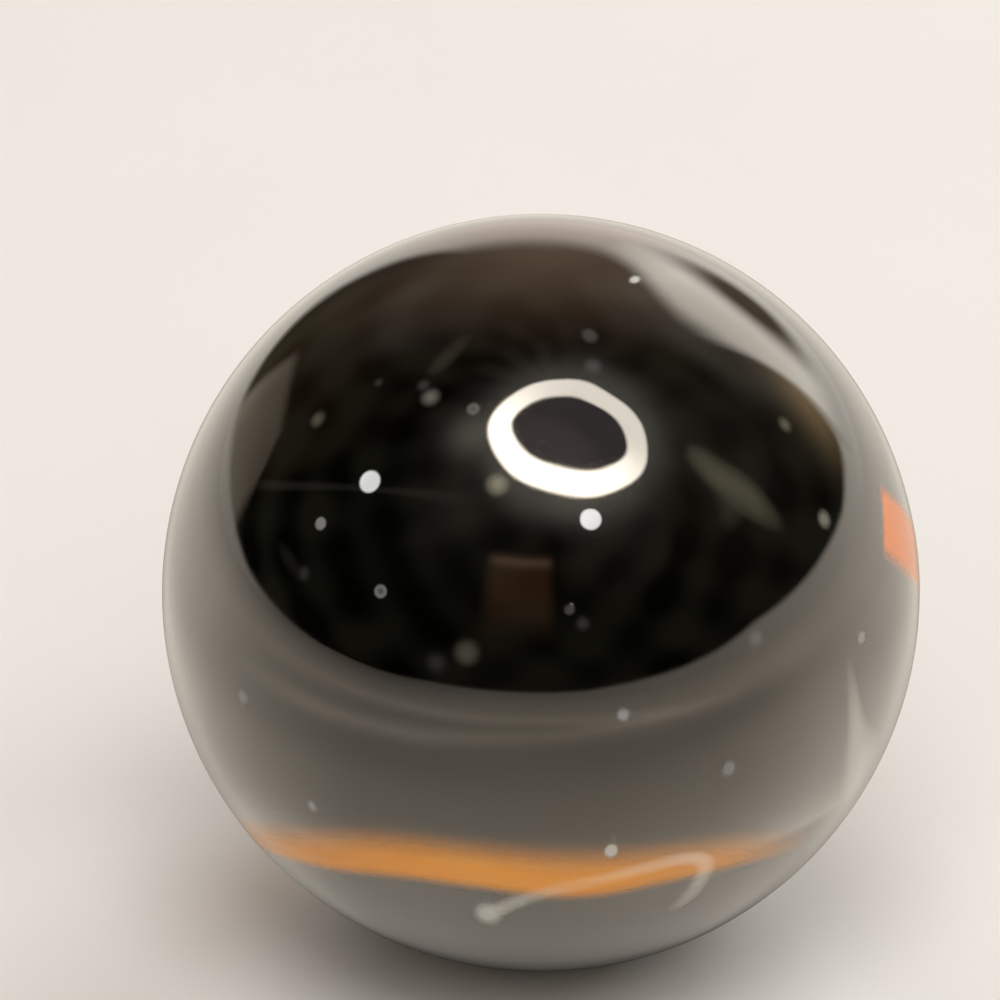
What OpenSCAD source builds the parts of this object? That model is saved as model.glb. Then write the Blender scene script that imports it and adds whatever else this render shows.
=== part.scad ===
// Glass toy marble: a ball of near-black glass with a ribbon of orange glass
// laid into its skin and seed bubbles trapped under the surface.
// Millimetres, +Z up, origin at the centre of the ball.
// Longitude 0 faces -Y and grows towards +X; latitude is above the XY plane.

/* [Marble] */
// Diameter of the ball
marble_d = 16; // [12:0.5:25]

/* [Orange ribbon] */
// Width of the ribbon on the surface where it is widest
ribbon_w = 1.2; // [0.8:0.1:2.0]
// Width of the ribbon's buried edge
ribbon_root_w = 0.7; // [0.4:0.1:1.2]
// How deep the ribbon reaches into the glass
ribbon_depth = 1.0; // [0.6:0.1:1.6]
// How far the middle of the buried edge lies to one side of the ribbon's middle
ribbon_root_offset = 0.3; // [0:0.1:0.6]

/* [Seed bubbles] */
// Glass over the top of a bubble that lies close under the surface
near_cover = 0.15; // [0.1:0.05:0.4]
// Glass over the top of a bubble that lies deep
deep_cover = 1.0; // [0.6:0.1:1.6]
// Diameter of a small seed bubble
small_d = 0.3; // [0.15:0.01:0.36]
// Diameter of a middling seed bubble
middle_d = 0.38; // [0.2:0.01:0.46]
// Diameter of a large seed bubble
large_d = 0.52; // [0.3:0.01:0.64]

/* [Hidden] */
$fn = 128;

marble_r = marble_d / 2;
// How far the ribbon's cutter stands out of the ball before it is trimmed flush
cutter_margin = 0.4;
// Rings of the ribbon's cutter from one station to the next
steps_per_station = 5;

// The ribbon's course from its thin tip to its blunt end:
// [longitude, latitude, share of the full width, share of the full depth]
ribbon_stations = [
    [  54, -24.8, 0.24, 0.40],
    [  44, -20.2, 0.58, 0.65],
    [  32, -16.9, 0.78, 0.85],
    [  20, -16.1, 0.86, 1.00],
    [   6, -16.5, 0.98, 1.00],
    [  -9, -15.1, 0.90, 1.00],
    [ -22, -15.6, 0.88, 1.00],
    [ -36, -19.3, 0.84, 1.00],
    [ -51, -24.8, 0.72, 1.00],
    [ -70, -33.0, 0.74, 1.00],
    [ -98, -42.5, 0.86, 1.00],
    [-134, -49.0, 0.96, 1.00],
    [-172, -48.0, 1.00, 1.00],
    [-206, -39.0, 1.00, 1.00],
    [-233, -25.0, 1.00, 1.00],
    [-256,  -8.0, 1.00, 1.00],
    [-275,   8.5, 1.00, 0.90],
    [-290,  22.8, 1.00, 0.75],
];

// Seed bubbles: [longitude, latitude, diameter, glass over the top]
seed_bubbles = [
    [ -35.5,  41.0, large_d,  near_cover],
    [   9.5,  39.0, middle_d, near_cover],
    [ -41.5,  33.0, small_d,  near_cover],
    [ -26.5,  26.0, small_d,  near_cover],
    [ -17.5,  56.0, small_d,  near_cover],
    [ -36.0,  58.0, large_d,  deep_cover],
    [ -10.5,  45.5, large_d,  deep_cover],
    [ -11.5,  18.5, large_d,  deep_cover],
    [ -62.5,  46.0, middle_d, deep_cover],
    [  24.5,  72.0, middle_d, deep_cover],
    [  70.5,  75.0, middle_d, near_cover],
    [  69.0,  43.0, small_d,  deep_cover],
    [  56.0,  29.5, middle_d, near_cover],
    [   5.0,  27.0, small_d,  near_cover],
    [  12.5,  10.5, small_d,  near_cover],
    [  29.0,  -1.5, small_d,  near_cover],
    [  57.0,   9.5, small_d,  near_cover],
    [  11.0, -10.0, small_d,  near_cover],
    [ -49.5,   2.5, small_d,  near_cover],
    [ -36.5, -11.5, small_d,  near_cover],
    [ 131.0,  38.0, middle_d, near_cover],
    [ 176.0,  12.0, small_d,  near_cover],
    [-148.0,  31.0, large_d,  deep_cover],
    [-112.0,  -6.0, small_d,  near_cover],
];

// Unit vector towards a longitude and latitude
function towards(lon, lat) = [cos(lat) * sin(lon), -cos(lat) * cos(lon), sin(lat)];

function unit(v) = v / norm(v);

// Catmull-Rom curve from b to c, with a and d as the stations beside them
function between(a, b, c, d, t) =
    0.5 * (2 * b + (c - a) * t + (2 * a - 5 * b + 4 * c - d) * t * t
           + (3 * b - a - 3 * c + d) * t * t * t);

last_station = len(ribbon_stations) - 1;

function station(i) = ribbon_stations[min(max(i, 0), last_station)];

// A point of the course, where u counts stations from the tip
function course(u) =
    let (i = min(floor(u), last_station - 1))
    between(station(i - 1), station(i), station(i + 1), station(i + 2), u - i);

function course_direction(u) = let (c = course(u)) towards(c[0], c[1]);

// The point so far across the ribbon from its centreline, at a radius
function across(out, side, offset, radius) =
    let (turn = offset / marble_r * 180 / PI)
    radius * (out * cos(turn) + side * sin(turn));

// Four corners of the ribbon's section: two above the surface, two buried
function section(u) =
    let (
        shape = course(u),
        out = course_direction(u),
        step = 0.01,
        ahead = course_direction(min(u + step, last_station)),
        behind = course_direction(max(u - step, 0)),
        side = unit(cross(ahead - behind, out)),
        half_w = ribbon_w * shape[2] / 2,
        half_root = ribbon_root_w * shape[2] / 2,
        root_middle = ribbon_root_offset * shape[2],
        depth = ribbon_depth * shape[3],
        low_skin = across(out, side, -half_w, marble_r),
        high_skin = across(out, side, half_w, marble_r),
        low_root = across(out, side, root_middle - half_root, marble_r - depth),
        high_root = across(out, side, root_middle + half_root, marble_r - depth),
        past = cutter_margin / depth
    )
    [
        low_skin + (low_skin - low_root) * past,
        high_skin + (high_skin - high_root) * past,
        high_root,
        low_root,
    ];

// The ribbon before it is trimmed flush with the ball
module ribbon_cutter() {
    rings = last_station * steps_per_station;
    corners = [for (k = [0 : rings]) each section(k / steps_per_station)];
    sides = [
        for (k = [0 : rings - 1], j = [0 : 3])
            let (a = 4 * k + j, b = 4 * k + (j + 1) % 4)
            each [[a, a + 4, b], [b, a + 4, b + 4]]
    ];
    tip = [[0, 1, 3], [1, 2, 3]];
    e = 4 * rings;
    blunt_end = [[e, e + 3, e + 1], [e + 1, e + 3, e + 2]];
    polyhedron(points = corners, faces = concat(sides, tip, blunt_end), convexity = 6);
}

// One closed bubble, wholly inside the glass
module seed_bubble(lon, lat, d, cover) {
    translate((marble_r - cover - d / 2) * towards(lon, lat)) sphere(d = d, $fn = 24);
}

module glass_body() {
    color([0.03, 0.028, 0.024]) difference() {
        sphere(d = marble_d);
        ribbon_cutter();
        for (b = seed_bubbles) seed_bubble(b[0], b[1], b[2], b[3]);
    }
}

module orange_ribbon() {
    color([0.86, 0.42, 0.10]) intersection() {
        sphere(d = marble_d);
        ribbon_cutter();
    }
}

glass_body();
orange_ribbon();
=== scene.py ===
"""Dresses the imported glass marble: its dark glass, seed bubbles, orange ribbon, pale threads and stage."""

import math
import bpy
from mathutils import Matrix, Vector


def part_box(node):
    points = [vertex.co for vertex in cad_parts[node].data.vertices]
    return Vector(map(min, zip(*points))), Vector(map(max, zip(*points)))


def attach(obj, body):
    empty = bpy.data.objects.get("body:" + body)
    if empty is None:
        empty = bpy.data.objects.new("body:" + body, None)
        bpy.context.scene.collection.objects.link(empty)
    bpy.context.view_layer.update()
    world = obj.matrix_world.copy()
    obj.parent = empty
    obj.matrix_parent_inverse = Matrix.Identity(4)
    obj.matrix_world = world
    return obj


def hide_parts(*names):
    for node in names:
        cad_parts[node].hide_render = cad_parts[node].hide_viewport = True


bl_info = {
    "name": "Glass Marble Dressing",
    "version": (1, 0, 0),
    "blender": (4, 5, 0),
    "location": "View3D > Sidebar > Marble",
    "description": "Builds the finished glass, ribbon, bubbles and stage around the packed marble",
    "category": "Object",
}

import bpy
import numpy as np
from bpy.props import FloatProperty, FloatVectorProperty, IntProperty, PointerProperty
from bpy.types import Operator, Panel, PropertyGroup
from mathutils import Vector

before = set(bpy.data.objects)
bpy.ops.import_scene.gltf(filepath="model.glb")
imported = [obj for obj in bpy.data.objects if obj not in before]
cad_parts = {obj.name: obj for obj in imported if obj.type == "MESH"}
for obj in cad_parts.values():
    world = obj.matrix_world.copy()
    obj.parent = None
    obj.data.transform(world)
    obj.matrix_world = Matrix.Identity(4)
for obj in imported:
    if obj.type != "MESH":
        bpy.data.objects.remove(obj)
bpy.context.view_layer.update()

MM = 0.001
# The ball's radius and centre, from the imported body
BALL_LOW, BALL_HIGH = (np.array(corner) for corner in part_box("glass_body"))
BALL_R = float(BALL_HIGH[2] - BALL_LOW[2]) / 2
BALL_CENTRE = (BALL_LOW + BALL_HIGH) / 2
FLOOR_Z = float(BALL_LOW[2])
# The dark glass lies this far under the ribbon's face, so that the two never share a surface
SKIN_STEP = 0.005 * MM
# How far the pale seeds and threads stand out of the ball, and how deep their rims lie in it
SEED_PROUD = 0.003 * MM
THREAD_PROUD = 0.002 * MM
RIM_DEPTH = 0.009 * MM
# How much deeper than its rim a seed's bottom lies in the middle, and a thread's
SEED_BULGE = 0.02 * MM
THREAD_BULGE = 0.015 * MM
# The share of a seed's radius, and of a thread's half width, at which its cover has come down to nothing
SEED_REACH = 0.916
THREAD_REACH = 0.92
LENS_SIDES = 24
BUBBLE_SIDES = 24
# Pale glass reflects this share of white at the most
PALE_WHITE = 0.95

# The ribbon's course from its thin tip to its blunt end, as in the solid:
# longitude, latitude, share of the full width, share of the full depth
RIBBON_STATIONS = np.array([
    [54, -24.8, 0.24, 0.40],
    [44, -20.2, 0.58, 0.65],
    [32, -16.9, 0.78, 0.85],
    [20, -16.1, 0.86, 1.00],
    [6, -16.5, 0.98, 1.00],
    [-9, -15.1, 0.90, 1.00],
    [-22, -15.6, 0.88, 1.00],
    [-36, -19.3, 0.84, 1.00],
    [-51, -24.8, 0.72, 1.00],
    [-70, -33.0, 0.74, 1.00],
    [-98, -42.5, 0.86, 1.00],
    [-134, -49.0, 0.96, 1.00],
    [-172, -48.0, 1.00, 1.00],
    [-206, -39.0, 1.00, 1.00],
    [-233, -25.0, 1.00, 1.00],
    [-256, -8.0, 1.00, 1.00],
    [-275, 8.5, 1.00, 0.90],
    [-290, 22.8, 1.00, 0.75],
])

# Rings of the ribbon and of a thread from one station to the next
RIBBON_STEPS = 24
THREAD_STEPS = 10

# How fully the orange covers along the course: longitude, cover (0 clear, 1 solid)
RIBBON_COVER = np.array([
    [-75, 1.00],
    [-55, 0.80],
    [-40, 0.92],
    [-10, 1.00],
    [10, 0.95],
    [25, 0.78],
    [32, 0.62],
    [40, 0.36],
    [50, 0.00],
])

# Where the orange starts to thin out and where it is gone, at its upper edge: longitude, and both as
# shares of the width counted from the lower edge
RIBBON_FADE = np.array([
    [-272, 0.95, 1.30],
    [-235, 0.32, 1.38],
    [-40, 0.32, 1.38],
    [-20, 0.40, 1.44],
    [8, 0.40, 1.44],
    [20, 0.30, 1.36],
    [45, 0.12, 1.15],
])

# Seed bubbles, as in the solid: longitude, latitude, diameter and cover in millimetres
SEED_BUBBLES = np.array([
    [-17.5, 56.0, 0.30, 0.15],
    [-26.5, 26.0, 0.30, 0.15],
    [-36.0, 58.0, 0.52, 1.00],
    [-10.5, 45.5, 0.52, 1.00],
    [-11.5, 18.5, 0.52, 1.00],
    [-62.5, 46.0, 0.38, 1.00],
    [24.5, 72.0, 0.38, 1.00],
    [69.0, 43.0, 0.30, 1.00],
    [56.0, 29.5, 0.38, 0.15],
    [5.0, 27.0, 0.30, 0.15],
    [12.5, 10.5, 0.30, 0.15],
    [29.0, -1.5, 0.30, 0.15],
    [57.0, 9.5, 0.30, 0.15],
    [-49.5, 2.5, 0.30, 0.15],
    [-36.5, -11.5, 0.30, 0.15],
    [131.0, 38.0, 0.38, 0.15],
    [176.0, 12.0, 0.30, 0.15],
    [-148.0, 31.0, 0.52, 1.00],
    [-112.0, -6.0, 0.30, 0.15],
    [-35.5, 41.0, 0.52, 0.15],
    [9.5, 39.0, 0.38, 0.15],
    [-41.5, 33.0, 0.30, 0.15],
    [70.5, 75.0, 0.38, 0.15],
    [11.0, -10.0, 0.30, 0.15],
])

# Pale seeds at the skin, most over a seed bubble, whose pale tone is painted light: the highlight that the
# bubbles catch, a painted ring of it on hollow ones. Longitude, latitude, radius in millimetres, whiteness,
# olive cast, softness of the rim (0 crisp, 1 all rim), hollowness (0 filled, 1 a ring) and length along the
# meridian over width
PAINTED_SEED_LIGHT = np.array([
    [-34.0, 41.0, 0.28, 1.00, 0.0, 0.25, 0.0, 1.00],
    [9.0, 39.0, 0.26, 1.00, 0.0, 0.25, 0.0, 1.00],
    [-40.5, 33.0, 0.18, 0.24, 0.1, 0.45, 0.0, 1.00],
    [-26.0, 26.5, 0.18, 0.19, 0.1, 0.40, 0.6, 1.00],
    [-29.0, 55.5, 0.30, 0.16, 0.6, 1.00, 0.0, 1.00],
    [-32.5, 57.0, 0.22, 0.04, 0.3, 1.00, 0.0, 1.00],
    [-17.0, 55.0, 0.19, 0.12, 0.3, 0.60, 0.5, 1.00],
    [-8.5, 44.0, 0.34, 0.25, 0.9, 0.90, 0.0, 1.00],
    [-11.0, 20.0, 0.38, 0.085, 0.8, 1.00, 0.2, 1.00],
    [-15.5, 18.0, 0.32, 0.022, 0.4, 1.00, 0.0, 1.00],
    [18.5, 68.0, 0.24, 0.08, 0.3, 0.90, 0.4, 1.20],
    [16.0, 62.5, 0.30, 0.05, 0.3, 1.00, 0.0, 1.00],
    [65.0, 75.0, 0.27, 0.68, 0.3, 0.80, 0.0, 0.55],
    [58.0, 44.0, 0.26, 0.10, 0.9, 0.90, 0.0, 1.00],
    [54.5, 29.5, 0.28, 0.20, 0.7, 0.80, 0.0, 1.00],
    [-53.5, 46.0, 0.28, 0.11, 0.8, 1.00, 0.0, 1.00],
    [4.5, 26.5, 0.15, 0.07, 0.3, 0.70, 0.3, 1.00],
    [6.5, 24.5, 0.22, 0.03, 0.4, 1.00, 0.0, 1.00],
    [-40.5, 25.5, 0.24, 0.03, 0.1, 1.00, 0.0, 1.00],
    [-45.0, 55.0, 0.17, 0.03, 0.3, 1.00, 0.0, 1.00],
    [-48.5, 3.5, 0.22, 0.14, 0.1, 0.90, 0.0, 1.00],
    [12.0, 11.0, 0.19, 0.21, 0.1, 0.70, 0.0, 1.05],
    [34.0, 18.0, 0.28, 0.07, 0.2, 1.00, 0.0, 1.00],
    [55.5, 10.5, 0.18, 0.20, 0.2, 0.60, 0.3, 1.00],
    [10.5, -11.5, 0.19, 0.42, 0.4, 0.50, 0.0, 1.35],
    [28.0, -0.5, 0.20, 0.14, 0.3, 0.60, 0.3, 1.20],
    [-35.5, -10.0, 0.17, 0.20, 0.2, 0.80, 0.0, 1.30],
    [-8.3, -25.7, 0.38, 0.44, 0.2, 0.75, 0.0, 1.55],
    [131.0, 38.0, 0.24, 0.30, 0.3, 0.60, 0.0, 1.00],
    [176.0, 12.0, 0.19, 0.20, 0.2, 0.60, 0.3, 1.00],
    [-148.0, 31.0, 0.30, 0.12, 0.5, 1.00, 0.0, 1.00],
    [-112.0, -6.0, 0.19, 0.30, 0.1, 0.50, 0.0, 1.00],
])

# Pale threads and wisps at the skin: whiteness, olive cast, and stations of longitude, latitude, half the
# width in millimetres and cover (0 clear, 1 solid)
PALE_THREADS = (
    (0.95, 0.2, [
        [-8.6, -26, 0.3, 0.0], [-7, -24.8, 0.3, 0.34], [-4.3, -22.6, 0.27, 0.34],
        [0, -20.2, 0.26, 0.24], [5, -18.4, 0.28, 0.15], [10, -17.2, 0.26, 0.16],
        [16.5, -15.8, 0.26, 0.22], [22.3, -15.4, 0.26, 0.3], [26, -17.6, 0.26, 0.34],
        [25.8, -22.0, 0.3, 0.3], [24.2, -25.6, 0.28, 0.22], [21.5, -27.8, 0.18, 0.0],
    ]),
    (0.03, 0.4, [
        [-60, 32.5, 0.1, 0.0], [-55, 34.4, 0.16, 0.5], [-42, 38.3, 0.12, 0.35],
        [-31.5, 40.3, 0.1, 0.3], [-23, 41.2, 0.14, 0.3], [-16, 41.3, 0.18, 0.2],
        [-9, 41.7, 0.18, 0.0],
    ]),
    (0.05, 0.8, [
        [-33, 58.5, 0.14, 0.0], [-31.5, 61, 0.26, 0.4], [-29.6, 64.4, 0.26, 0.35],
        [-27.5, 67.6, 0.14, 0.0],
    ]),
    (0.11, 1.0, [
        [31, 47, 0.2, 0.0], [33, 45.3, 0.34, 0.45], [36, 41.7, 0.46, 0.6], [39, 38.6, 0.5, 0.6],
        [41.6, 35.2, 0.42, 0.45], [45, 31, 0.2, 0.0],
    ]),
    (0.045, 1.0, [
        [38.2, 39.6, 0.26, 0.0], [36.4, 37, 0.44, 0.45], [32.7, 34.2, 0.24, 0.0],
    ]),
    (0.03, 0.6, [
        [-48, 28.2, 0.12, 0.0], [-44, 26.3, 0.2, 0.4], [-40.3, 24.6, 0.12, 0.0],
    ]),
    (0.5, 0.2, [
        [51.5, 9, 0.16, 0.0], [52.3, 3, 0.26, 0.3], [53.5, -3, 0.4, 0.5], [55.8, -8.5, 0.7, 0.62],
        [58, -13, 0.85, 0.6], [59, -17.5, 0.6, 0.4], [59.5, -21, 0.3, 0.0],
    ]),
)


# ---------------------------------------------------------------- settings


class MarbleSettings(PropertyGroup):
    """Sizes and colours of the marble itself."""

    ribbon_width: FloatProperty(
        name="Ribbon width", description="Width of the ribbon on the surface where it is widest",
        default=1.2 * MM, min=0.8 * MM, max=2.0 * MM, unit="LENGTH")
    ribbon_root_width: FloatProperty(
        name="Ribbon root", description="Width of the ribbon's buried edge",
        default=0.7 * MM, min=0.4 * MM, max=1.2 * MM, unit="LENGTH")
    ribbon_depth: FloatProperty(
        name="Ribbon depth", description="How deep the ribbon reaches into the glass",
        default=1.0 * MM, min=0.6 * MM, max=1.6 * MM, unit="LENGTH")
    ribbon_root_offset: FloatProperty(
        name="Ribbon root offset", description="How far the middle of the buried edge lies to one side",
        default=0.3 * MM, min=0.0, max=0.6 * MM, unit="LENGTH")
    ribbon_colour: FloatVectorProperty(
        name="Ribbon", description="Colour of the orange glass", subtype="COLOR",
        size=3, default=(0.77, 0.278, 0.008), min=0, max=1)
    ribbon_pale: FloatVectorProperty(
        name="Ribbon streak", description="Colour of the paler streaks in the orange glass",
        subtype="COLOR", size=3, default=(0.76, 0.37, 0.07), min=0, max=1)
    ribbon_end: FloatVectorProperty(
        name="Ribbon end", description="Colour of the orange glass at the blunt end",
        subtype="COLOR", size=3, default=(0.80, 0.235, 0.065), min=0, max=1)
    glass_tint: FloatVectorProperty(
        name="Glass tint", description="Colour that the dark glass lets through", subtype="COLOR",
        size=3, default=(0.30, 0.18, 0.04), min=0, max=1)
    glass_density: FloatProperty(
        name="Glass density", description="How quickly the glass takes up light, per metre",
        default=2600.0, min=100.0, max=5000.0)
    grid_columns: IntProperty(
        name="Columns", description="Faces around the ball", default=288, min=64, max=400)


class StageSettings(PropertyGroup):
    """Floor, lamps and camera."""

    floor_colour: FloatVectorProperty(
        name="Floor", description="Colour of the floor", subtype="COLOR", size=3,
        default=(0.87, 0.815, 0.745), min=0, max=1)
    # Painted light: the colour of the light and shade painted on the wide floor, which reflections see in
    # place of its lighting
    floor_painted_light: FloatVectorProperty(
        name="Floor in reflections", description="Brightness of the wide floor in reflections",
        subtype="COLOR", size=3, default=(0.98, 0.90, 0.785), min=0, max=1)
    camera_distance: FloatProperty(
        name="Camera distance", description="From the camera to the ball's centre",
        default=100 * MM, min=40 * MM, max=500 * MM, unit="LENGTH")
    camera_elevation: FloatProperty(
        name="Camera elevation", description="Height of the camera above the horizon",
        default=math.radians(29), min=0, max=math.radians(89), subtype="ANGLE")
    ball_share: FloatProperty(
        name="Ball in picture", description="The ball's width as a share of the picture's width",
        default=0.758, min=0.2, max=0.95)
    ring_height: FloatProperty(
        name="Ring lamp height", description="Height of the ring lamp above the ball's centre",
        default=250 * MM, min=100 * MM, max=400 * MM, unit="LENGTH")
    ring_strength: FloatProperty(
        name="Ring lamp", description="Brightness of the ring lamp in reflections",
        default=15.0, min=0, max=100)


# ---------------------------------------------------------------- geometry


def towards(longitude, latitude):
    """Unit vectors for angles in degrees: longitude 0 is -Y and grows towards +X."""
    lon, lat = np.broadcast_arrays(np.radians(longitude), np.radians(latitude))
    return np.stack([np.cos(lat) * np.sin(lon), -np.cos(lat) * np.cos(lon), np.sin(lat)], axis=-1)


def unit(vectors):
    """The vectors scaled to length 1."""
    return vectors / np.linalg.norm(vectors, axis=-1, keepdims=True)


def smooth(low, high, value):
    """0 below low, 1 above high, and the cubic 3t^2 - 2t^3 between. With low above high it falls instead."""
    t = np.clip((value - low) / (high - low), 0, 1)
    return t * t * (3 - 2 * t)


def grid_quads(rows, columns, wrap=False):
    """Index quads of a grid of points, row by row; wrap joins the last column to the first."""
    last = columns if wrap else columns - 1
    row, column = np.meshgrid(np.arange(rows - 1), np.arange(last), indexing="ij")
    ahead = (column + 1) % columns
    quads = np.stack([
        row * columns + column,
        row * columns + ahead,
        (row + 1) * columns + ahead,
        (row + 1) * columns + column,
    ], axis=-1)
    return quads.reshape(-1, 4)


def tube_faces(rows, columns):
    """Faces of a tube of closed rings, row by row. A fan closes each end on one of the two points that follow
    the rings."""
    around = np.arange(columns)
    ahead = (around + 1) % columns
    last = (rows - 1) * columns
    first_end = np.full(columns, rows * columns)
    faces = grid_quads(rows, columns, wrap=True).tolist()
    faces += np.stack([ahead, around, first_end], axis=-1).tolist()
    faces += np.stack([last + around, last + ahead, first_end + 1], axis=-1).tolist()
    return faces


def ball_surface(radius, centre, columns, rows, outward=True):
    """Points and faces of a sphere: rings of equal latitude steps, closed by a fan at each pole."""
    lon = np.linspace(-180, 180, columns, endpoint=False)
    lat = np.linspace(-90, 90, rows + 1)[1:-1]
    ring = towards(lon[None, :], lat[:, None]).reshape(-1, 3)
    points = centre + radius * np.concatenate([ring, [[0, 0, -1], [0, 0, 1]]])
    faces = tube_faces(len(lat), columns)
    return points, faces if outward else [face[::-1] for face in faces]


def add_piece(name, points, faces, uv=None, cover=None, tone=None):
    """A smooth mesh object at the origin from points and faces, with a UV, cover and tone for each point."""
    mesh = bpy.data.meshes.new(name)
    mesh.from_pydata(points.tolist(), [], faces)
    mesh.shade_smooth()
    if uv is not None:
        corner = np.empty(len(mesh.loops), dtype=np.int32)
        mesh.loops.foreach_get("vertex_index", corner)
        layer = mesh.uv_layers.new(name="UVMap")
        layer.data.foreach_set("uv", uv[corner].astype(np.float32).ravel())
    if cover is not None:
        mesh.attributes.new("cover", "FLOAT", "POINT").data.foreach_set("value", cover.astype(np.float32))
    if tone is not None:
        solid = np.concatenate([tone, np.ones((len(tone), 1))], axis=1).astype(np.float32)
        mesh.color_attributes.new("tone", "FLOAT_COLOR", "POINT").data.foreach_set("color", solid.ravel())
    mesh.update()
    piece = bpy.data.objects.new(name, mesh)
    bpy.context.scene.collection.objects.link(piece)
    return piece


def joined(surfaces):
    """Points and faces of several surfaces as one."""
    starts = np.cumsum([0] + [len(points) for points, _ in surfaces]).tolist()
    faces = []
    for (_, own), start in zip(surfaces, starts):
        faces += [[index + start for index in face] for face in own]
    return np.concatenate([points for points, _ in surfaces]), faces


def finish_piece(piece, material, replaces=None):
    """Gives a piece its material and says how it stands in the frame."""
    piece.data.materials.append(material)
    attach(piece, "root")
    if replaces:
        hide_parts(replaces)


def catmull_rom(stations, steps):
    """A smooth curve through the stations: on each span the cubic that meets both neighbours' slopes."""
    padded = np.concatenate([stations[:1], stations, stations[-1:]])
    a, b, c, d = (padded[k:len(padded) - 3 + k, None] for k in range(4))
    t = (np.arange(steps) / steps)[None, :, None]
    curve = 0.5 * (2 * b + (c - a) * t + (2 * a - 5 * b + 4 * c - d) * t**2 + (3 * b - a - 3 * c + d) * t**3)
    return np.concatenate([curve.reshape(-1, stations.shape[1]), stations[-1:]])


def across(out, side, offset, radius):
    """Points so far across a course on the ball: out turned towards side by offset over the ball's radius."""
    turn = offset / BALL_R
    return radius * (out * np.cos(turn) + side * np.sin(turn))


def ribbon_surface(settings):
    """The ribbon: a four-sided section carried along its course. Its face follows the ball, its walls run
    straight to the buried root, which is narrower and set off sideways, and each end is a flat fan. The cover
    is 1 on the face, falls off over the edges and the tip by the cubic 3t^2 - 2t^3, and is 0 on the walls."""
    course = catmull_rom(RIBBON_STATIONS, RIBBON_STEPS)
    out = towards(course[:, 0], course[:, 1])
    side = unit(np.cross(np.gradient(out, axis=0), out))
    half = settings.ribbon_width * course[:, 2:3] / 2
    root = settings.ribbon_root_width * course[:, 2:3] / 2
    root_middle = settings.ribbon_root_offset * course[:, 2:3]
    depth = settings.ribbon_depth * course[:, 3:4]
    # The face runs a little past both edges, so that its cover can fade out over them
    skin_share = np.linspace(-1.4, 2.0, 35)
    wall_share = np.linspace(0, 1, 6)[1:]
    skin = [across(out, side, half * s, BALL_R) for s in skin_share]
    high = across(out, side, root_middle + root, BALL_R - depth)
    low = across(out, side, root_middle - root, BALL_R - depth)
    down = [skin[-1] + (high - skin[-1]) * s for s in wall_share]
    up = [low + (skin[0] - low) * s for s in np.concatenate([[0], wall_share[:-1]])]
    section = np.stack(skin + down + up, axis=1)
    rows, columns = section.shape[:2]
    ends = np.stack([section[0].mean(axis=0), section[-1].mean(axis=0)])
    points = np.concatenate([section.reshape(-1, 3), ends])
    v = np.concatenate([(skin_share + 1) / 2, np.full(len(down), 1.5), np.full(len(up), -0.2)])
    travelled = np.concatenate([[0], np.cumsum(np.linalg.norm(np.diff(out, axis=0), axis=1))])
    u = travelled / travelled[-1]
    uv = np.stack(np.broadcast_arrays(u[:, None], v[None, :]), axis=-1).reshape(-1, 2)
    uv = np.concatenate([uv, [[0, 0.5], [1, 0.5]]])
    along = np.interp(course[:, 0], *RIBBON_COVER.T) * smooth(0, 0.006, 1 - u)
    thins, gone = (np.interp(course[:, 0], RIBBON_FADE[:, 0], RIBBON_FADE[:, k])[:, None] for k in (1, 2))
    over = smooth(-0.2, 0.2, v)[None] * (1 - smooth(thins, gone, v[None]))
    over[:, len(skin):] = 0
    cover = np.concatenate([(along[:, None] * over).ravel(), [0, 0]])
    return points + BALL_CENTRE, tube_faces(rows, columns), uv, cover


def lens_surface(seed):
    """One pale seed: a thin lens let into the skin, whose tone is painted light, the highlight of a seed
    bubble. Its top stands
    0.003 mm out of the ball and drops to 0.009 mm under it at the rim, and its bottom lies 0.009 + 0.02 (1 -
    r^2) mm under, with r 0 in the middle and 1 at the rim. The cover is 1 and falls to 0 at the rim by the
    cubic 3t^2 - 2t^3, sooner for a softer seed, and a hollow seed's cover drops again towards the middle,
    leaving a painted ring of light."""
    lon, lat, radius, white, olive, soft, hollow, drawn = seed
    out = towards(lon, lat)
    east = unit(np.cross([0, 0, 1], out))
    north = np.cross(out, east)
    turn = np.linspace(0, 2 * math.pi, LENS_SIDES, endpoint=False)
    share = np.linspace(0, 1, 13)[1:]
    tilt = share * radius * MM / BALL_R
    ring = np.cos(turn)[:, None] * east + drawn * np.sin(turn)[:, None] * north
    ray = unit(out + np.tan(tilt)[:, None, None] * ring[None])
    top = (BALL_R + np.where(share > 0.95, -RIM_DEPTH, SEED_PROUD))[:, None, None] * ray
    bulge = SEED_BULGE * (1 - share**2)
    low = (BALL_R - RIM_DEPTH - bulge)[:-1, None, None] * ray[:-1]
    shell = np.concatenate([top, low[::-1]])
    poles = np.stack([out * (BALL_R + SEED_PROUD), out * (BALL_R - RIM_DEPTH - SEED_BULGE)])
    points = np.concatenate([shell.reshape(-1, 3), poles])
    faces = [face[::-1] for face in tube_faces(len(shell), LENS_SIDES)]
    filled = 1 - smooth(SEED_REACH * (1 - soft), SEED_REACH, share)
    hole = 1 - hollow * (1 - smooth(0.0, 0.6, share))
    cover = np.concatenate([
        np.repeat(filled * hole, LENS_SIDES), np.zeros(len(low) * LENS_SIDES), [1 - hollow, 0]])
    # The painted highlight's colour: white, turning olive by the seed's olive cast
    cast = np.array([1, 1, 0.98]) * (1 - olive) + np.array([1, 0.9, 0.6]) * olive
    return points + BALL_CENTRE, faces, cover, PALE_WHITE * white * cast


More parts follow.
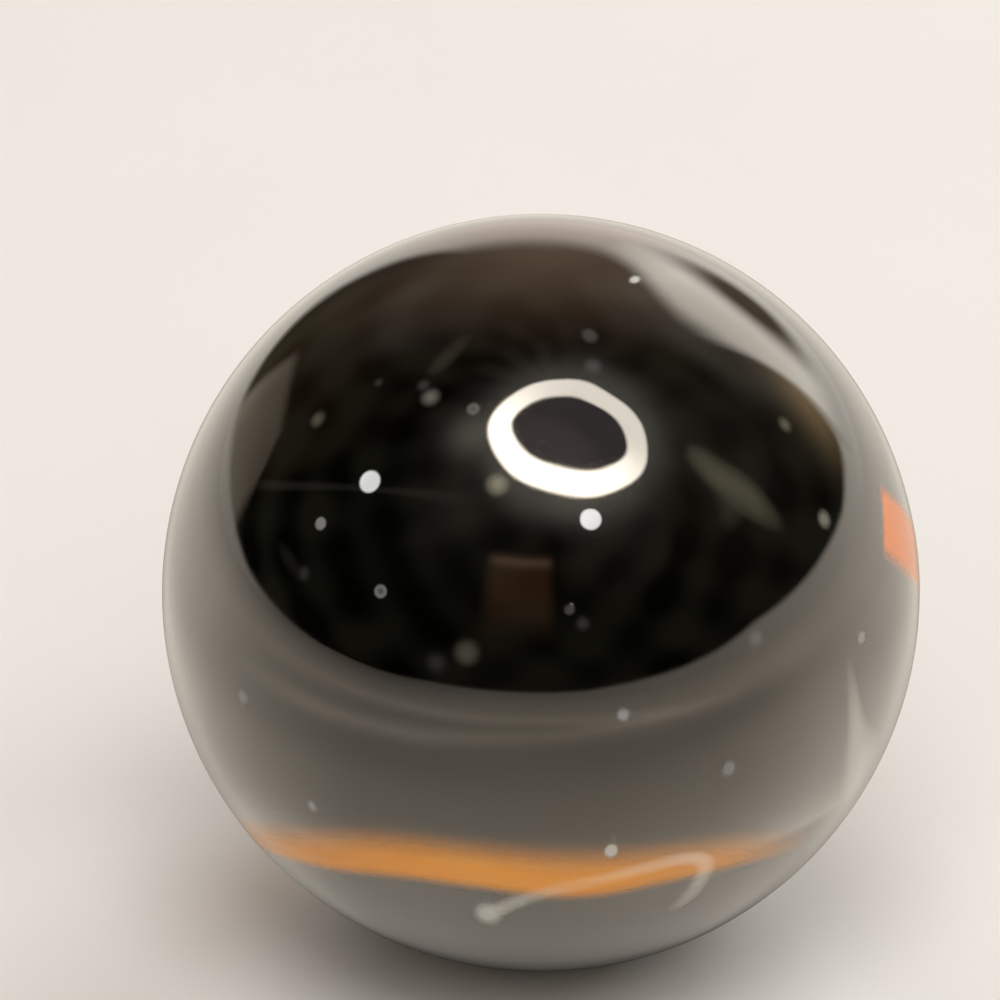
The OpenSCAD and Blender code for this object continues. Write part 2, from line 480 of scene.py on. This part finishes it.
def thread_surface(white, olive, stations):
    """One pale thread: a flat strip let into the skin along its stations. With s from -1 to 1 across it, its
    top stands 0.002 mm out of the ball and drops to 0.009 mm under it at the edges, its bottom lies
    0.009 + 0.015 (1 - s^2) mm under, and its cover is the station's times (1 - (s / 0.92)^2)^1.3."""
    course = catmull_rom(np.array(stations, dtype=float), THREAD_STEPS)
    out = towards(course[:, 0], course[:, 1])
    side = unit(np.cross(np.gradient(out, axis=0), out))
    half = np.maximum(course[:, 2:3], 0.02) * MM
    share = np.concatenate([[-1], np.linspace(-THREAD_REACH, THREAD_REACH, 11), [1]])
    back = share[::-1][1:-1]
    top = [across(out, side, half * s, BALL_R + (THREAD_PROUD if abs(s) < 1 else -RIM_DEPTH)) for s in share]
    low = [across(out, side, half * s, BALL_R - RIM_DEPTH - THREAD_BULGE * (1 - s**2)) for s in back]
    section = np.stack(top + low, axis=1)
    rows, columns = section.shape[:2]
    ends = np.stack([section[0].mean(axis=0), section[-1].mean(axis=0)])
    points = np.concatenate([section.reshape(-1, 3), ends])
    profile = np.concatenate([np.clip(1 - (share / THREAD_REACH) ** 2, 0, 1) ** 1.3, np.zeros(len(back))])
    cover = np.concatenate([(np.clip(course[:, 3:4], 0, 1) * profile[None]).ravel(), [0, 0]])
    cast = np.array([1, 0.96, 0.86]) * (1 - olive) + np.array([1, 0.92, 0.6]) * olive
    return points + BALL_CENTRE, tube_faces(rows, columns), cover, PALE_WHITE * white * cast


# ---------------------------------------------------------------- materials


class Nodes:
    """A short way to write a material's node tree."""

    def __init__(self, name):
        self.material = bpy.data.materials.new(name)
        self.material.use_nodes = True
        self.tree = self.material.node_tree
        self.tree.nodes.clear()
        self.output = self.tree.nodes.new("ShaderNodeOutputMaterial")

    def add(self, kind, **values):
        """A node of that kind; a value is a property's, a socket's, or another node's output to link."""
        node = self.tree.nodes.new("ShaderNode" + kind)
        for key, value in values.items():
            name = key.replace("_", " ")
            if hasattr(node, key) and name not in node.inputs:
                setattr(node, key, value)
            else:
                self.put(node, name, value)
        return node

    def put(self, node, name, value):
        """Sets or links one socket, by its name or, as i0 or i1, by its place."""
        socket = node.inputs[int(name[1:]) if name[0] == "i" and name[1:].isdigit() else name]
        if isinstance(value, bpy.types.NodeSocket):
            self.tree.links.new(value, socket)
        elif isinstance(value, tuple) and len(value) == 3 and socket.type == "RGBA":
            socket.default_value = (*value, 1)
        else:
            socket.default_value = value

    def ramp(self, factor, *stops):
        """A colour ramp's output; a stop is a place and a colour or a grey."""
        node = self.tree.nodes.new("ShaderNodeValToRGB")
        self.tree.links.new(factor, node.inputs[0])
        while len(node.color_ramp.elements) < len(stops):
            node.color_ramp.elements.new(0.5)
        for element, (place, colour) in zip(node.color_ramp.elements, stops):
            element.position = place
            element.color = (*colour, 1) if isinstance(colour, tuple) else (colour, colour, colour, 1)
        return node.outputs["Color"]

    def glow(self, colour):
        """Finishes a material that only reflections see, so it isn't sampled as a lamp."""
        self.material.cycles.emission_sampling = "NONE"
        return self.shade(self.add("Emission", Color=colour))

    def shade(self, shader, volume=None):
        """Links the shader, and the volume if there is one, and gives the finished material."""
        self.tree.links.new(shader.outputs[0], self.output.inputs["Surface"])
        if volume:
            self.tree.links.new(volume.outputs[0], self.output.inputs["Volume"])
        return self.material


def dark_glass(settings):
    """Near-black glass: polished at the surface, and dense enough to hide all but what lies just under it."""
    n = Nodes("dark_glass")
    place = n.add("TexCoord").outputs["Object"]
    haze = n.add("TexNoise", Vector=place, Scale=260.0, Detail=1.0).outputs[0]
    rough = n.ramp(haze, (0.35, 0.02), (0.7, 0.07))
    glass = n.add(
        "BsdfPrincipled", Base_Color=(1.0, 1.0, 1.0), Roughness=rough, IOR=1.52,
        Specular_Tint=(1.0, 0.86, 0.66), Transmission_Weight=1.0, Coat_Weight=1.0, Coat_Roughness=0.01,
        Coat_IOR=1.6)
    volume = n.add("VolumeAbsorption", Color=tuple(settings.glass_tint), Density=settings.glass_density)
    return n.shade(glass, volume)


def orange_glass(settings):
    """Orange glass with paler streaks drawn out along the ribbon and a redder blunt end. It thins out into
    the dark glass where its cover falls off, and from inside it is clear."""
    n = Nodes("orange_glass")
    uv = n.add("UVMap", uv_map="UVMap").outputs[0]
    drawn = n.add("Mapping", Vector=uv, Scale=(9.0, 1.6, 1.0)).outputs[0]
    streak = n.add("TexNoise", Vector=drawn, Scale=2.0, Detail=4.0, Distortion=0.4).outputs[0]
    pale = n.ramp(streak, (0.50, 0.0), (0.9, 1.0))
    streaked = n.add(
        "MixRGB", Fac=pale, Color1=tuple(settings.ribbon_colour), Color2=tuple(settings.ribbon_pale))
    travelled = n.add("SeparateXYZ", Vector=uv).outputs["X"]
    blunt = n.ramp(travelled, (0.90, 0.0), (0.97, 1.0))
    colour = n.add("MixRGB", Fac=blunt, Color1=streaked.outputs[0], Color2=tuple(settings.ribbon_end))
    glass = n.add("BsdfPrincipled", Base_Color=colour.outputs[0], Roughness=0.05, IOR=1.5)
    body = n.add("Attribute", attribute_name="cover").outputs["Fac"]
    ragged = n.add("Math", operation="MULTIPLY_ADD", i0=streak, i1=0.24, i2=0.92).outputs[0]
    behind = n.add("NewGeometry").outputs["Backfacing"]
    outside = n.add(
        "MapRange", Value=behind, From_Min=0.0, From_Max=1.0, To_Min=ragged, To_Max=0.0).outputs[0]
    cover = n.add("Math", operation="MULTIPLY", i0=body, i1=outside, use_clamp=True).outputs[0]
    clear = n.add("BsdfTransparent")
    return n.shade(n.add("MixShader", Fac=cover, i1=clear.outputs[0], i2=glass.outputs[0]))


def pale_seed_light_and_threads():
    """Pale seeds and threads in the polished skin: their tone where they cover, on the seeds a painted
    highlight of the seed bubbles, and clear elsewhere and from inside."""
    n = Nodes("pale_seed_light_and_threads")
    place = n.add("TexCoord").outputs["Object"]
    cover = n.add("Attribute", attribute_name="cover").outputs["Fac"]
    tone = n.add("VertexColor", layer_name="tone").outputs[0]
    cloud = n.add("TexNoise", Vector=place, Scale=2200.0, Detail=0.0).outputs[0]
    patchy = n.ramp(cloud, (0.3, 0.85), (0.7, 1.0))
    behind = n.add("NewGeometry").outputs["Backfacing"]
    outside = n.add("Math", operation="SUBTRACT", i0=patchy, i1=behind, use_clamp=True).outputs[0]
    share = n.add("Math", operation="MULTIPLY", i0=cover, i1=outside).outputs[0]
    seed = n.add(
        "BsdfPrincipled", Base_Color=tone, Roughness=0.04, IOR=1.52, Coat_Weight=1.0, Coat_Roughness=0.01,
        Coat_IOR=1.6)
    clear = n.add("BsdfTransparent")
    return n.shade(n.add("MixShader", Fac=share, i1=clear.outputs[0], i2=seed.outputs[0]))


# ---------------------------------------------------------------- operators


class MARBLE_OT_glass(Operator):
    """Builds the ball of dark glass with its seed bubbles."""

    bl_idname = "marble.glass"
    bl_label = "Glass"

    def execute(self, context):
        settings = context.scene.marble
        columns = settings.grid_columns
        surfaces = [ball_surface(BALL_R - SKIN_STEP, BALL_CENTRE, columns, columns // 2)]
        for lon, lat, size, cover in SEED_BUBBLES:
            radius = size * MM / 2
            centre = BALL_CENTRE + (BALL_R - cover * MM - radius) * towards(lon, lat)
            surfaces.append(ball_surface(radius, centre, BUBBLE_SIDES, BUBBLE_SIDES // 2, outward=False))
        ball = add_piece("glass_ball", *joined(surfaces))
        finish_piece(ball, dark_glass(settings), "glass_body")
        return {"FINISHED"}


class MARBLE_OT_ribbon(Operator):
    """Builds the orange ribbon."""

    bl_idname = "marble.ribbon"
    bl_label = "Ribbon"

    def execute(self, context):
        settings = context.scene.marble
        points, faces, uv, cover = ribbon_surface(settings)
        ribbon = add_piece("ribbon", points, faces, uv, cover)
        ribbon.data.set_sharp_from_angle(angle=math.radians(40))
        finish_piece(ribbon, orange_glass(settings), "orange_ribbon")
        return {"FINISHED"}


class MARBLE_OT_seed_light_and_threads(Operator):
    """Builds the pale seeds, painted light over the seed bubbles, and the threads at the skin."""

    bl_idname = "marble.inclusions"
    bl_label = "Pale inclusions"

    def execute(self, context):
        # The pale seeds paint the light that the seed bubbles catch
        made = [lens_surface(seed) for seed in PAINTED_SEED_LIGHT]
        made += [thread_surface(*thread) for thread in PALE_THREADS]
        points, faces = joined([surface[:2] for surface in made])
        cover = np.concatenate([own for _, _, own, _ in made])
        tone = np.concatenate([np.tile(own, (len(part), 1)) for part, _, _, own in made])
        piece = add_piece("pale_seed_light_and_thread_marks", points, faces, cover=cover, tone=tone)
        finish_piece(piece, pale_seed_light_and_threads())
        return {"FINISHED"}


class MARBLE_OT_stage(Operator):
    """Builds the floor, the surroundings, the lamps and the camera."""

    bl_idname = "marble.stage"
    bl_label = "Stage"

    def execute(self, context):
        settings = context.scene.marble_stage
        make_floor(settings)
        make_surroundings()
        make_ring_lamp(settings)
        make_lamps()
        make_camera(settings)
        return {"FINISHED"}


# ---------------------------------------------------------------- stage

# Radius of the surroundings in metres, and of the floor's first and last rings in millimetres
SURROUND_R = 0.36
FLOOR_FIRST = 1.5
FLOOR_LAST = 1200

# Soft glows in the dark room: azimuth, elevation, radius that is evenly lit, fall-off past it, and colour
ROOM_GLOWS = (
    (178, 40, 0, 25, (0.36, 0.24, 0.165)),
    (30, 73, 19, 7, (0.46, 0.45, 0.42)),
    (131, 15, 0, 10, (0.58, 0.39, 0.20)),
    (85, 42, 0, 28, (0.045, 0.042, 0.030)),
    (-60, 68, 0, 7, (0.50, 0.48, 0.43)),
    (-38, 50, 0, 12, (0.09, 0.09, 0.075)),
    (142, 30, 14, 6, (0.12, 0.115, 0.10)),
)

# Front edge of the recess at the left: elevation, azimuth
RECESS_EDGE = np.array([
    [0, -118], [5, -116], [12, -109], [18, -104], [24, -100], [30, -97], [38, -95], [60, -80],
])

# Top edge of the doorway in the recess: azimuth, elevation
DOOR_TOP = np.array([
    [-143, 13], [-139, 15.5], [-134, 17.5], [-125, 19.5], [-118, 19.5], [-113, 15], [-109, 8],
])

# Top edge of the pale wall and of the card in it, all the way round: azimuth, elevation
WALL_TOP = np.array([
    [-180, 21.5], [-173, 20], [-169, 18], [-165, 9], [-160, 1], [-156, -1], [-139, 0.5], [-130, 2.2],
    [-123, 2.6], [-114, 2.4], [-106, 1.5], [-98, 0.3], [-88, -0.5], [-57, -2.8], [-43, -1.7], [-31, -0.9],
    [-12, -0.6], [12, -0.5], [30, 0.7], [41, 1.4], [53, 2.8], [66, 5.1], [97, 5.3], [112, 4.8], [126, 6],
    [130, 7.5], [132, 11], [133.5, 20], [135, 30], [138, 35.5], [145, 38], [150, 37.5], [155, 35.5],
    [160, 32], [165, 27.5], [170, 23.5], [175, 22], [180, 21.5],
])

# Half the height over which that edge fades: azimuth, degrees
WALL_SOFTNESS = np.array([
    [-180, 8], [-160, 6], [-150, 2], [-112, 1], [112, 1], [128, 2], [131, 10], [133.5, 14], [137, 8],
    [150, 4.5], [165, 4.5], [172, 6], [180, 8],
])

# Brightness of the wall, and how much of the card's extra brightness it has: azimuth, share
WALL_LEVEL = np.array([
    [-180, 0.96], [-165, 0.90], [-105, 0.95], [-60, 0.7], [0, 0.7], [50, 0.85], [75, 1.15], [110, 1.35],
    [165, 1.12], [180, 0.96],
])
CARD_SHARE = np.array([[124, 0], [134, 1], [160, 1], [172, 0]])

# Painted light on the wide floor in reflections: it is even out to this distance in millimetres, and falls by
# a power past it.
# Azimuth, brightness, power
FLOOR_EVEN = 75
FLOOR_LEVEL = np.array([
    [-180, 0.87, 0], [-135, 0.93, 0.1], [-105, 1.17, 0.22], [-75, 0.98, 0.55], [-45, 0.83, 0.74],
    [-15, 0.90, 0.36], [15, 0.92, 0.33], [45, 1.07, 0.24], [75, 1.38, 0.14], [105, 1.36, 0],
    [135, 1.05, 0], [180, 0.87, 0],
])

# Painted shade on the floor in reflections: how much darker it is at the sides within 42 mm, and the share
# taken off it
# close to the foot: azimuth, amount
FLOOR_SIDE_SHADE = np.array([
    [-180, 0.02], [-135, 0.06], [-105, 0.11], [-85, 0], [85, 0], [105, 0.27], [135, 0.14], [180, 0.02],
])
FLOOR_FOOT_SHADE = np.array([
    [-135, 0], [-110, 0.26], [-50, 0.28], [-25, 0.12], [25, 0.05], [60, 0.06], [80, 0.22], [100, 0.18],
    [120, 0],
])

# Rings of painted light and shade on the floor in front, in reflections: 1 bright or -1 dim, relative width,
# and rows of azimuth, distance, strength
FLOOR_PAINTED_RINGS = (
    (-1, 0.34, np.array([
        [-90, 27, 0.05], [-60, 27, 0.12], [-30, 27, 0.12], [0, 30, 0.15], [30, 32, 0.22], [60, 41, 0.34],
        [90, 44, 0.12],
    ])),
    (1, 0.13, np.array([
        [-90, 34, 0], [-60, 34, 0.36], [-30, 36, 0.33], [0, 43, 0.17], [30, 54, 0.36], [60, 56, 0],
        [90, 56, 0],
    ])),
    (1, 0.14, np.array([
        [-90, 64, 0.03], [-60, 64, 0.14], [-30, 64, 0.20], [0, 66, 0.18], [30, 62, 0.24], [60, 62, 0],
        [90, 62, 0],
    ])),
    (-1, 0.12, np.array([
        [-90, 46, 0], [-60, 46, 0.07], [-30, 49, 0.07], [0, 54, 0.05], [30, 40, 0], [60, 40, 0],
        [90, 40, 0],
    ])),
)

# The most that the floor shows in reflections, in the painted shadow at the foot: distance, brightness
FOOT_SHADOW = np.array([
    [2, 0.02], [3, 0.05], [4, 0.17], [5, 0.42], [6, 0.66], [7, 0.84], [8, 1.0], [10, 1.28], [12, 9],
])

# Where the ball's outline grazes the floor, for azimuths off the front: azimuth, distance. Then how much
# painted shade darkens the floor there, and over how many times that distance
GRAZED = np.array([
    [0, 2.1], [54, 2.6], [94, 4], [116, 6.3], [132, 9.3], [151, 16.5], [163, 23.7], [172, 29], [180, 31],
])
GRAZED_SHADE = np.array([[0, 0.30], [54, 0.45], [94, 0.52], [116, 0.64], [163, 0.66], [180, 0.34]])
GRAZED_REACH = np.array([[60, 2], [94, 2.7], [116, 2.7], [135, 2.3], [180, 2.1]])

# The ring lamp's outer and inner ovals: centre and half sizes as shares of its height, and turn in degrees
RING_OUTER = ((0.160, -0.291), (0.425, 0.355), -16)
RING_INNER = ((0.151, -0.246), (0.289, 0.204), -13)

# Round soft lamps: name, azimuth, elevation, power in watts
LAMP_DISTANCE = 350 * MM
LAMP_SIZE = 200 * MM
LAMPS = (
    ("key", 0, 65, 0.48),
    ("front", 30, 42, 0.21),
    ("right", 90, 42, 0.26),
    ("back", 150, 42, 0.37),
    ("left_back", -150, 42, 0.20),
    ("left_front", -30, 42, 0.14),
)

# Where the camera aims, from the ball's centre: to the right and up, in picture widths
AIM_RIGHT = -0.041
AIM_UP = 0.092


def read_off(table, place, column=1):
    """A column of the table at that place in its first column, along straight lines between its rows."""
    return np.interp(place, table[:, 0], table[:, column])


def surroundings(azimuth, elevation):
    """Colour of the set in each direction, in degrees: a dark mottled room with glows, each falling off as
    exp(-(d / fall-off)^2) past its evenly lit part, a brown shape in front and a recess at the left with a
    dim doorway, a pale wall all round with a soft top edge, a bright card in it at the right rear, and a dark
    gap in that card."""
    ray = towards(azimuth, elevation)

    def glow(distance, wide, colour):
        return np.exp(-((distance / wide) ** 2))[..., None] * np.array(colour)

    a, e = np.radians(azimuth), np.radians(elevation)
    coarse = np.sin(7 * a + 3 * np.sin(5 * e)) * np.sin(9 * e + 2 * np.sin(4 * a))
    mottle = coarse + np.sin(13 * a + 2) * np.sin(17 * e + 1)
    room = (0.030 + 0.022 * np.clip(mottle, -1, 1))[..., None] * np.array([1.0, 1.0, 0.7])
    for az, el, even, wide, colour in ROOM_GLOWS:
        away = np.degrees(np.arccos(np.clip(ray @ towards(az, el), -1, 1)))
        room = room + glow(np.maximum(away - even, 0), wide, colour)
    # A brown shape in front with a paler upper rim
    shape = smooth(-21, -15, azimuth) * smooth(6, 1, azimuth)
    shape = shape * smooth(12, 30, elevation) * smooth(41, 37, elevation)
    rim = glow(elevation - 37.5, 1.6, (0.30, 0.22, 0.18))
    room = room + shape[..., None] * (np.array([0.17, 0.08, 0.04]) + rim)
    # A faint brown recess at the left, and the dim doorway in it
    recess = smooth(3, -3, azimuth - read_off(RECESS_EDGE, elevation))
    recess = recess * smooth(-165, -150, azimuth) * smooth(60, 30, elevation)
    room = room + recess[..., None] * np.array([0.025, 0.015, 0.005])
    door = smooth(-144.5, -139.5, azimuth) * smooth(-108, -114, azimuth)
    door = door * smooth(2, -2, elevation - read_off(DOOR_TOP, azimuth))
    room = room + (door * (1 - 0.4 * smooth(0, 18, elevation)))[..., None] * np.array([0.41, 0.35, 0.28])
    # The pale wall, redder right behind, and the card in it
    soft = read_off(WALL_SOFTNESS, azimuth)
    pale = smooth(-soft, soft, read_off(WALL_TOP, azimuth) - elevation)
    level = read_off(WALL_LEVEL, azimuth) + read_off(CARD_SHARE, azimuth) * 1.25 * smooth(2, 14, elevation)
    behind = smooth(163, 176, np.abs(azimuth))[..., None]
    wall = np.array([0.93, 0.875, 0.78]) * (1 - behind) + np.array([1.02, 0.86, 0.74]) * behind
    colour = room * (1 - pale[..., None]) + (pale * level)[..., None] * wall
    # The gap in the card: flat below, domed above, leaning to the left
    over_sill = elevation - 9.5
    aside = (azimuth - 155 + 0.15 * over_sill) / 16.5
    upwards = over_sill / np.where(over_sill > 0, 12.5, 8)
    gap = 1 - smooth(0.25, 1.05, np.hypot(aside, upwards))[..., None]
    return colour * (1 - 0.97 * gap) + gap * np.array([0.11, 0.075, 0.045])


def glossy_only(piece):
    """Hides a stage piece from the camera, from diffuse light, from shadows and from volumes."""
    piece.visible_camera = False
    piece.visible_diffuse = False
    piece.visible_shadow = False
    piece.visible_volume_scatter = False


def painted_floor_in_gloss(azimuth, distance):
    """Painted light and shade of the wide floor as reflections see it, by azimuth in degrees and distance in
    millimetres:
    the brightness of its azimuth, falling by a power of the distance past FLOOR_EVEN, with painted shade at
    the sides, a painted pool of light at the foot in front crossed there by rings that are bell curves of the
    distance's logarithm, held down by the painted shadow at the foot, and darkened by painted shade close to
    the foot and where the outline grazes it."""
    level = read_off(FLOOR_LEVEL, azimuth)
    fall = read_off(FLOOR_LEVEL, azimuth, 2)
    level = level * (np.maximum(distance, FLOOR_EVEN) / FLOOR_EVEN) ** -fall
    # Painted shade at the sides
    level = level - read_off(FLOOR_SIDE_SHADE, azimuth) * smooth(42, 24, distance)
    front = smooth(100, 60, np.abs(azimuth))
    # A painted pool of light at the foot in front
    level = level + front * 0.62 * np.exp(-np.maximum(distance - 9, 0) / 4.5)
    # Bright and dim rings painted into the floor's reflection
    for sign, width, rows in FLOOR_PAINTED_RINGS:
        off = np.log(distance / read_off(rows, azimuth)) / width
        level = level + sign * read_off(rows, azimuth, 2) * np.exp(-(off**2))
    # The painted shadow at the foot, and painted shade close to it
    level = np.minimum(level, read_off(FOOT_SHADOW, distance))
    level = level * (1 - read_off(FLOOR_FOOT_SHADE, azimuth) * smooth(19, 9, distance))
    # Painted shade where the ball's outline grazes the floor
    turned = np.abs(azimuth)
    grazed = read_off(GRAZED, turned)
    near = smooth(read_off(GRAZED_REACH, turned) * grazed, grazed, distance)
    return level * (1 - read_off(GRAZED_SHADE, turned) * near)


def make_floor(settings):
    """A round pale floor in rings around the ball. Reflections see painted light and shade on it, with a
    painted shadow at the foot, whatever the reach of the lamps, except right under the ball, where they see
    the lit floor itself."""
    columns, rows = 180, 120
    azimuth = np.linspace(-180, 180, columns, endpoint=False)
    distance = np.geomspace(FLOOR_FIRST, FLOOR_LAST, rows)
    az, reach = np.meshgrid(azimuth, distance)
    points = towards(az, 0) * reach[..., None] * MM
    points[..., 2] = FLOOR_Z
    points = np.concatenate([points.reshape(-1, 3), [[0, 0, FLOOR_Z]]])
    around = np.arange(columns)
    faces = grid_quads(rows, columns, wrap=True)[:, ::-1].tolist()
    faces += np.stack([around, (around + 1) % columns, np.full(columns, rows * columns)], axis=-1).tolist()
    painted = np.concatenate([smooth(1.2, 2.2, reach).ravel(), [0]])
    # The painted light and shade that reflections see on the floor
    seen = np.concatenate([painted_floor_in_gloss(az, reach).ravel(), [1]])[:, None] * np.array(settings.floor_painted_light)
    floor = add_piece("floor", points, faces, cover=painted, tone=seen)
    n = Nodes("floor")
    place = n.add("TexCoord").outputs["Object"]
    mottle = n.add("TexNoise", Vector=place, Scale=60.0, Detail=2.0).outputs[0]
    base = tuple(settings.floor_colour)
    colour = n.ramp(mottle, (0.3, tuple(0.975 * c for c in base)), (0.7, base))
    lit = n.add("BsdfPrincipled", Base_Color=colour, Roughness=0.75)
    cover = n.add("Attribute", attribute_name="cover").outputs["Fac"]
    gloss = n.add("LightPath").outputs["Is Glossy Ray"]
    share = n.add("Math", operation="MULTIPLY", i0=cover, i1=gloss).outputs[0]
    # The floor's painted light and shade, shown as a glow to reflections in place of its lighting
    tone = n.add("VertexColor", layer_name="tone").outputs[0]
    even = n.add("Emission", Color=tone, Strength=1.0)
    floor.data.materials.append(n.shade(n.add("MixShader", Fac=share, i1=lit.outputs[0], i2=even.outputs[0])))
    n.material.cycles.emission_sampling = "NONE"


def make_surroundings():
    """The dome that only reflections see, from the floor's level up, coloured point by point."""
    columns, rows = 540, 150
    azimuth = np.linspace(-180, 180, columns, endpoint=False)
    low = math.degrees(math.asin(FLOOR_Z / SURROUND_R))
    elevation = np.linspace(low, 90, rows)
    az, el = np.meshgrid(azimuth, elevation)
    points = SURROUND_R * towards(az, el)
    faces = grid_quads(rows, columns, wrap=True)[:, ::-1].tolist()
    dome = add_piece("surroundings", points.reshape(-1, 3), faces)
    colours = np.concatenate([surroundings(az, el), np.ones(az.shape)[..., None]], axis=-1)
    layer = dome.data.color_attributes.new("set_colour", "FLOAT_COLOR", "POINT")
    layer.data.foreach_set("color", colours.astype(np.float32).ravel())
    n = Nodes("surroundings")
    seen = n.add("VertexColor", layer_name="set_colour").outputs[0]
    dome.data.materials.append(n.glow(seen))
    glossy_only(dome)
    dome.visible_transmission = False


def oval(centre, half_sizes, turned, turn):
    """Points of an oval, turned in its plane by some degrees, with a slight corner at its far side."""
    corner = 1 + 0.055 * np.exp(-(((turn - 0.55 * math.pi) / 0.22) ** 2)) + 0.012 * np.cos(6 * turn)
    x, y = half_sizes[0] * corner * np.cos(turn), half_sizes[1] * corner * np.sin(turn)
    c, s = math.cos(math.radians(turned)), math.sin(math.radians(turned))
    return np.stack([centre[0] + c * x - s * y, centre[1] + s * x + c * y], axis=-1)


def make_ring_lamp(settings):
    """The ring lamp overhead: an oval band with soft edges, brighter in front than at the far side, and a dim
    shade across its middle. Reflections alone see it. Shares are of the lamp's height over the ball."""
    height = settings.ring_height
    turn = np.linspace(0, 2 * math.pi, 144, endpoint=False)
    outer = oval(*RING_OUTER, turn)
    inner = oval(*RING_INNER, turn)
    band = np.stack([inner + (outer - inner) * share for share in (-0.06, 0.12, 0.88, 1.05)])
    middle = np.tile(RING_INNER[0], (1, len(turn), 1))
    shade = np.concatenate([middle, inner[None]])
    shade_tone = np.full((2, len(turn), 1), 0.36) * np.array([0.85, 0.74, 0.82])
    bright = 1 - 0.52 * smooth(-0.5, 0.9, np.sin(turn + 0.35))
    soft = np.array([0.02, 1.0, 1.0, 0.02])[:, None] * bright[None]
    band_tone = settings.ring_strength * soft[..., None] * np.array([1.0, 0.97, 0.92])
    for name, rings, tone in (("ring_lamp_shade", shade, shade_tone), ("ring_lamp", band, band_tone)):
        points = height * np.concatenate([rings, np.ones((*rings.shape[:2], 1))], axis=-1)
        faces = grid_quads(len(rings), len(turn), wrap=True).tolist()
        lamp = add_piece(name, points.reshape(-1, 3), faces, tone=tone.reshape(-1, 3))
        n = Nodes(name)
        lamp.data.materials.append(n.glow(n.add("VertexColor", layer_name="tone").outputs[0]))
        glossy_only(lamp)


def make_lamps():
    """The world's dim even light, and round lamps that light the set and show in no reflection."""
    world = bpy.data.worlds.new("studio")
    bpy.context.scene.world = world
    world.use_nodes = True
    world.cycles.sampling_method = "NONE"
    background = world.node_tree.nodes["Background"]
    background.inputs["Color"].default_value = (1.0, 0.88, 0.66, 1)
    background.inputs["Strength"].default_value = 0.19
    for name, azimuth, elevation, power in LAMPS:
        place = LAMP_DISTANCE * towards(azimuth, elevation)
        data = bpy.data.lights.new(name, "AREA")
        data.shape = "DISK"
        data.size = LAMP_SIZE
        data.energy = power
        data.color = (0.94, 0.965, 1.03)
        lamp = bpy.data.objects.new(name, data)
        lamp.location = place
        lamp.rotation_euler = Vector(-place).to_track_quat("-Z", "Y").to_euler()
        lamp.visible_glossy = False
        lamp.visible_camera = False
        bpy.context.scene.collection.objects.link(lamp)


def make_camera(settings):
    """The camera looks past the ball, which stands a little right of and below the picture's middle."""
    data = bpy.data.cameras.new("camera")
    camera = bpy.data.objects.new("camera", data)
    back = towards(0, math.degrees(settings.camera_elevation))
    right = np.array([1.0, 0, 0])
    up = np.cross(back, right)
    half_angle = math.asin(BALL_R / settings.camera_distance)
    picture = 2 * math.tan(half_angle) / settings.ball_share
    data.sensor_width = 36
    data.lens = data.sensor_width / picture
    data.clip_start = 5 * MM
    data.clip_end = 5.0
    shown = picture * settings.camera_distance
    aim = BALL_CENTRE + shown * (AIM_RIGHT * right + AIM_UP * up)
    place = BALL_CENTRE + settings.camera_distance * back
    camera.location = place
    camera.rotation_euler = Vector(aim - place).to_track_quat("-Z", "Y").to_euler()
    bpy.context.scene.collection.objects.link(camera)
    bpy.context.scene.camera = camera


# ---------------------------------------------------------------- panel and registration


class MARBLE_PT_panel(Panel):
    """Lists the marble's settings and its operators."""

    bl_idname = "MARBLE_PT_panel"
    bl_label = "Glass marble"
    bl_space_type = "VIEW_3D"
    bl_region_type = "UI"
    bl_category = "Marble"

    def draw(self, context):
        for group in (context.scene.marble, context.scene.marble_stage):
            column = self.layout.column()
            for name in group.__annotations__:
                column.prop(group, name)
        for operator in (MARBLE_OT_glass, MARBLE_OT_ribbon, MARBLE_OT_seed_light_and_threads, MARBLE_OT_stage):
            self.layout.operator(operator.bl_idname)


CLASSES = (
    MarbleSettings,
    StageSettings,
    MARBLE_OT_glass,
    MARBLE_OT_ribbon,
    MARBLE_OT_seed_light_and_threads,
    MARBLE_OT_stage,
    MARBLE_PT_panel,
)


def register():
    """Adds the classes and the scene's two groups of settings."""
    for cls in CLASSES:
        bpy.utils.register_class(cls)
    bpy.types.Scene.marble = PointerProperty(type=MarbleSettings)
    bpy.types.Scene.marble_stage = PointerProperty(type=StageSettings)


def unregister():
    """Takes away what register added, last first."""
    del bpy.types.Scene.marble_stage
    del bpy.types.Scene.marble
    for cls in reversed(CLASSES):
        bpy.utils.unregister_class(cls)


def main():
    """Builds every piece and the stage."""
    register()
    scene = bpy.context.scene
    scene.view_settings.view_transform = "Standard"
    bpy.ops.marble.glass()
    bpy.ops.marble.ribbon()
    bpy.ops.marble.inclusions()
    bpy.ops.marble.stage()


if __name__ == "__main__":
    main()
